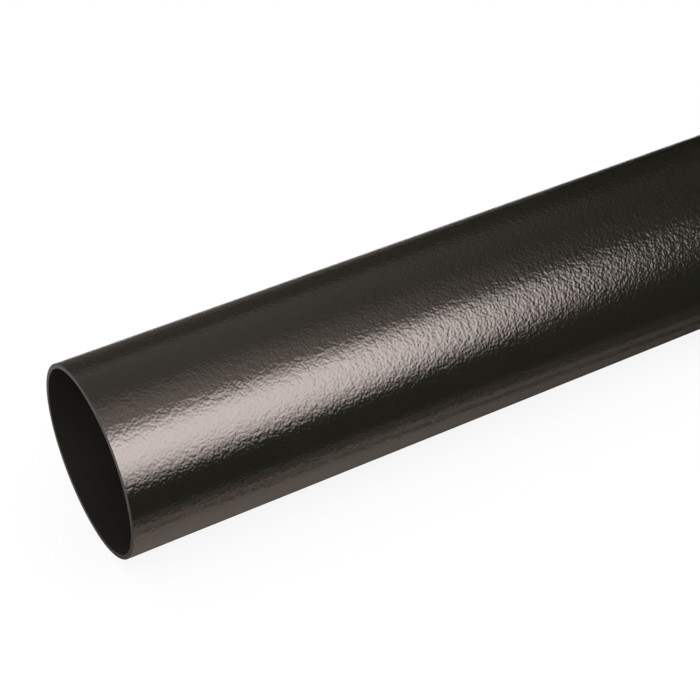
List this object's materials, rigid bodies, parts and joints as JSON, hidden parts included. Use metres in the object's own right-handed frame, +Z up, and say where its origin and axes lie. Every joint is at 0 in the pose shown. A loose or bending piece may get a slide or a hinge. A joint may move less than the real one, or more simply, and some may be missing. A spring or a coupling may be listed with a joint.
{
  "type": "cast iron downpipe",
  "caption": "Round cast iron rainwater downpipe: a straight, plain-ended pipe with a thin even wall and a black coat over a pebbled cast skin.",
  "frame": {"origin": "on the floor, under the pipe's axis, midway along its length", "axes": "+X along the pipe's axis, +Z up; the pipe lies on its side"},
  "size_m": [3, 0.16, 0.1596],
  "materials": {
    "black_coated_cast_iron": "satin black coat over a pebbled cast skin, outside, ends and bore"
  },
  "bodies": {
    "root": {"downpipe": "black_coated_cast_iron"}
  },
  "joints": []
}
